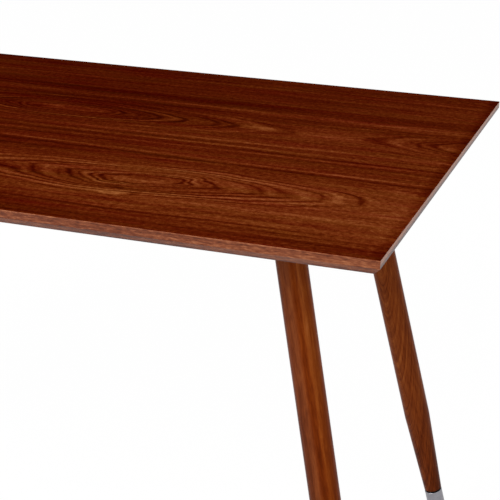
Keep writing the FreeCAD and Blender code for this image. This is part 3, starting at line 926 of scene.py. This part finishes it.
def make_foot_pad(corner, material):
    """A moulded pad with a grooved sole, rounded rim and the socket that holds the stud's ball."""
    mesh = bmesh.new()
    angles = turn_angles(PAD_STEPS)
    rings = [add_ring(mesh, angles, [radius] * PAD_STEPS, height) for radius, height in pad_outline()]
    for first, second in zip(rings, rings[1:]):
        join_rings(mesh, first, second)
    close_ring(mesh, rings[0], GROOVE_DEPTH)
    close_ring(mesh, rings[-1], BALL_HEIGHT - SOCKET_RADIUS)
    low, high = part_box("foot_pad_" + corner)
    place = Matrix.Translation(((low.x + high.x) / 2, (low.y + high.y) / 2, 0))
    bmesh.ops.transform(mesh, matrix=place, verts=mesh.verts)
    name, node = "moulded_pad_" + corner, "foot_pad_" + corner
    add_piece(mesh, name, material, "pad_" + corner, node)


# Wood screws that hold the rails and blocks to the top. Heights are from the seat of the head, with the tip
# above it. The cross recess narrows to a share of its size at its floor.
SCREW_TIP = 0.026
SCREW_OUTLINE = (
    (0.0025, 0.020), (0.0025, 0.0), (0.0050, 0.0), (0.0050, -0.0020), (0.0045, -0.0029), (0.0034, -0.0035),
)
CROSS_LENGTH = 0.0023
CROSS_WIDTH = 0.0006
CROSS_FLOOR = -0.0016
CROSS_FLOOR_SHARE = 0.55
NEARLY_ZERO = 1e-9

# Points nearer to each other than this belong to one screw, and each screw is turned by so many radians
# more than the one before it
SCREW_APART = 0.02
SCREW_TURN = 0.7


def cross_angles():
    """Angles round a screw that include the corners of its cross recess."""
    corner = math.atan2(CROSS_WIDTH, CROSS_LENGTH)
    quarter = (0, corner, math.radians(30), math.radians(45), math.radians(60), math.pi / 2 - corner)
    return [turn * math.pi / 2 + angle for turn in range(4) for angle in quarter]


def cross_radius(angle):
    """How far a cross recess reaches from the screw's axis, without dividing by zero."""
    across = max(abs(math.cos(angle)), NEARLY_ZERO)
    along = max(abs(math.sin(angle)), NEARLY_ZERO)
    flat = min(CROSS_LENGTH / across, CROSS_WIDTH / along)
    upright = min(CROSS_WIDTH / across, CROSS_LENGTH / along)
    return max(flat, upright)


def middle(spots):
    """The middle of the box round some points in a plane."""
    return [(min(spot[axis] for spot in spots) + max(spot[axis] for spot in spots)) / 2 for axis in (0, 1)]


def screw_places(node):
    """The axis of each screw of a CAD node, from the middle of its own points."""
    groups = []
    for vertex in nodes[node].data.vertices:
        spot = vertex.co.xy
        group = next((found for found in groups if (found[0] - spot).length < SCREW_APART), None)
        if group is None:
            groups.append([spot])
        else:
            group.append(spot)
    return [middle(group) for group in groups]


def add_screw(mesh, place):
    """A pointed wood screw with a domed head and a cross recess."""
    angles = cross_angles()
    first = len(mesh.verts)
    ring = add_ring(mesh, angles, [SCREW_OUTLINE[0][0]] * len(angles), SCREW_OUTLINE[0][1])
    close_ring(mesh, ring, SCREW_TIP)
    recess = [cross_radius(angle) for angle in angles]
    outlines = [([radius] * len(angles), height) for radius, height in SCREW_OUTLINE[1:]]
    outlines.append((recess, SCREW_OUTLINE[-1][1]))
    outlines.append(([radius * CROSS_FLOOR_SHARE for radius in recess], CROSS_FLOOR))
    for radii, height in outlines:
        below = add_ring(mesh, angles, radii, height)
        join_rings(mesh, ring, below)
        ring = below
    close_ring(mesh, ring, CROSS_FLOOR)
    mesh.verts.ensure_lookup_table()
    bmesh.ops.transform(mesh, matrix=place, verts=mesh.verts[first:])


def make_wood_screws(node, material):
    """The screws of one CAD node, with real heads, each turned differently on its axis."""
    mesh = bmesh.new()
    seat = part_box(node)[1].z - SCREW_TIP
    for number, (x, y) in enumerate(screw_places(node)):
        turn = Matrix.Rotation(number * SCREW_TURN, 4, "Z")
        add_screw(mesh, Matrix.Translation((x, y, seat)) @ turn)
    add_piece(mesh, "cross_head_" + node, material, "table", node)


def make_camera():
    """A camera with the photograph's place, direction and lens."""
    forward = Vector((
        math.sin(CAMERA_YAW) * math.cos(CAMERA_PITCH),
        math.cos(CAMERA_YAW) * math.cos(CAMERA_PITCH),
        -math.sin(CAMERA_PITCH),
    ))
    level = Vector((math.cos(CAMERA_YAW), -math.sin(CAMERA_YAW), 0))
    rise = level.cross(forward)
    right = math.cos(CAMERA_ROLL) * level + math.sin(CAMERA_ROLL) * rise
    up = right.cross(forward)
    data = bpy.data.cameras.new("photo_camera")
    data.sensor_fit = "HORIZONTAL"
    data.sensor_width = SENSOR_MM
    data.lens = SENSOR_MM * FOCAL_PIXELS / IMAGE_PIXELS
    data.clip_end = CAMERA_REACH
    camera = bpy.data.objects.new("photo_camera", data)
    rotation = Matrix((right, up, -forward)).transposed()
    camera.matrix_world = Matrix.Translation(CAMERA_PLACE) @ rotation.to_4x4()
    bpy.context.scene.collection.objects.link(camera)
    bpy.context.scene.camera = camera


def seen_directly(tree):
    """One where the camera sees a surface directly, in a reflection or through glass."""
    path = tree.nodes.new("ShaderNodeLightPath")
    total = path.outputs["Is Camera Ray"]
    for name in ("Is Glossy Ray", "Is Transmission Ray"):
        add = tree.nodes.new("ShaderNodeMath")
        add.operation = "MAXIMUM"
        tree.links.new(total, add.inputs[0])
        tree.links.new(path.outputs[name], add.inputs[1])
        total = add.outputs[0]
    return total


def make_world():
    """A white background, with plain soft light on the object."""
    world = bpy.data.worlds.new("studio")
    world.use_nodes = True
    tree = world.node_tree
    background = tree.nodes["Background"]
    background.inputs["Color"].default_value = (1, 1, 1, 1)
    mix = tree.nodes.new("ShaderNodeMix")
    tree.links.new(seen_directly(tree), mix.inputs["Factor"])
    mix.inputs["A"].default_value = WORLD_STRENGTH
    mix.inputs["B"].default_value = 1.0
    tree.links.new(mix.outputs["Result"], background.inputs["Strength"])
    bpy.context.scene.world = world


def make_floor():
    """A white floor that keeps a faint shadow of the table."""
    half = FLOOR_SIZE / 2
    mesh = bpy.data.meshes.new("floor")
    corners = [(-half, -half, 0), (half, -half, 0), (half, half, 0), (-half, half, 0)]
    mesh.from_pydata(corners, [], [(0, 1, 2, 3)])
    floor = bpy.data.objects.new("floor", mesh)
    bpy.context.scene.collection.objects.link(floor)
    graph = Graph("studio_floor")
    graph.set(Base_Color=(*FLOOR_COLOUR, 1.0), Roughness=0.9, Specular_IOR_Level=0.0)
    white = graph.node("ShaderNodeEmission")
    white.inputs["Strength"].default_value = FLOOR_GLOW
    share = graph.math("MULTIPLY", seen_directly(graph.tree), FLOOR_WHITE_SHARE)
    mix = graph.node("ShaderNodeMixShader")
    graph.feed(mix.inputs[0], share)
    graph.feed(mix.inputs[1], graph.shader.outputs[0])
    graph.feed(mix.inputs[2], white.outputs[0])
    graph.feed(graph.tree.nodes["Material Output"].inputs["Surface"], mix.outputs[0])
    mesh.materials.append(graph.material)


def make_lamp(name, place, target, size, power):
    """A square soft box that faces a target."""
    data = bpy.data.lights.new(name, "AREA")
    data.size = size
    data.energy = power
    lamp = bpy.data.objects.new(name, data)
    direction = Vector(target) - Vector(place)
    turn = direction.to_track_quat("-Z", "Y").to_matrix().to_4x4()
    lamp.matrix_world = Matrix.Translation(place) @ turn
    bpy.context.scene.collection.objects.link(lamp)


bpy.context.scene.view_settings.view_transform = "Standard"
make_camera()
make_world()
make_floor()
for lamp in LAMPS:
    make_lamp(*lamp)

make_top_walnut()
for kind in LIPPINGS:
    make_edge_walnut(kind)
for corner in LEGS:
    make_leg_walnut(corner)
make_frame_wood("x", ("front_rail", "rear_rail"), 150)
make_frame_wood("y", ("left_cross_rail", "right_cross_rail"), 160)
make_frame_wood("z", at_corners("mounting_block"), 170)
make_backing_veneer()
make_core_board()
make_dowel_wood()
zinc_steel = make_zinc_steel()
for corner in CORNERS:
    make_foot_stud(corner, zinc_steel)
make_wood_screws("rail_screws", zinc_steel)
make_wood_screws("block_screws", zinc_steel)
make_black_ring()
for corner in CORNERS:
    make_foot_metal(corner)
pad_plastic = make_pad_plastic()
for corner in CORNERS:
    make_foot_pad(corner, pad_plastic)
